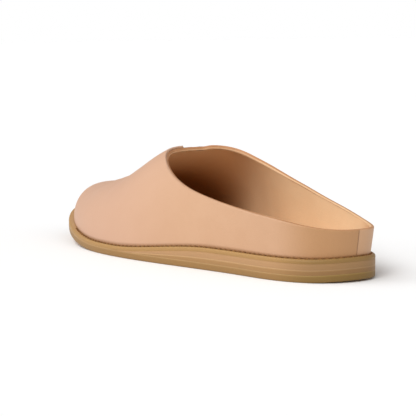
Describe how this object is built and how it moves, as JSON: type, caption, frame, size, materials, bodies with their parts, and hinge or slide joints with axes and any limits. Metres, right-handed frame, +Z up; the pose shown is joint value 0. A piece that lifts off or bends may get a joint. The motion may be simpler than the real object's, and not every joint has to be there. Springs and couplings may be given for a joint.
{
  "type": "mule shoe",
  "caption": "Left leather mule with a low open heel, a wrapped vamp over a hollow upper, a stitched welt and a low stacked leather sole.",
  "frame": {"origin": "on the floor, under the middle of the heel seat", "axes": "+X from the heel to the toe, +Y to the outer (little toe) side of this left shoe, +Z up"},
  "size_m": [0.2582, 0.1042, 0.0606],
  "materials": {
    "outsole_leather": "burnished edge, golden brown",
    "lift_leather": "stacked layers with a streaky edge",
    "welt_leather": "burnished edge with stitches along the upper",
    "footbed_leather": "smooth tan lining leather",
    "upper_leather": "smooth pink-beige leather",
    "wrap_leather": "smooth pink-beige leather with a dark cut edge"
  },
  "bodies": {
    "root": {"outsole": "outsole_leather", "heel_lift_lower": "lift_leather", "heel_lift_upper": "lift_leather", "welt": "welt_leather", "footbed": "footbed_leather", "upper": "upper_leather", "wrap_panel": "wrap_leather"}
  },
  "joints": []
}
